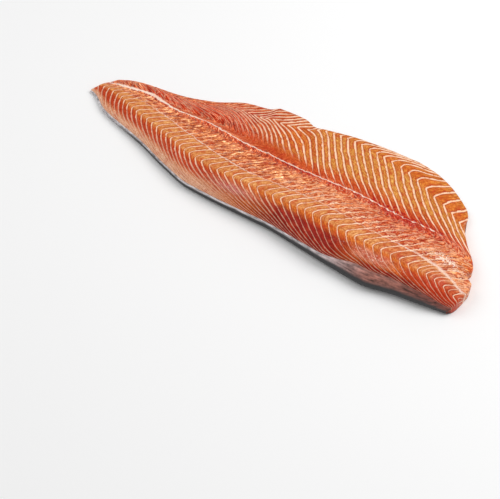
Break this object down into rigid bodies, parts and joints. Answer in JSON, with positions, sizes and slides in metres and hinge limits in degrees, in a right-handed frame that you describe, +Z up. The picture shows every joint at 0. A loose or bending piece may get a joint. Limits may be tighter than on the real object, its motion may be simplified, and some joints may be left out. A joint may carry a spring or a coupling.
{
  "type": "raw salmon fillet",
  "caption": "Whole trimmed side of raw salmon lying skin down, with flaked orange flesh, white septa, a thick loin and a thin belly.",
  "frame": {"origin": "under the middle of the side's box, on the surface that it lies on", "axes": "+X from the tail to the head end, +Y from the back to the belly, +Z up, away from the skin"},
  "size_m": [0.4996, 0.178, 0.031],
  "materials": {
    "flesh": "moist raw fish flesh with pale septa, silver-grey skin along the back and underneath"
  },
  "bodies": {
    "root": {"fillet": "flesh"}
  },
  "joints": []
}
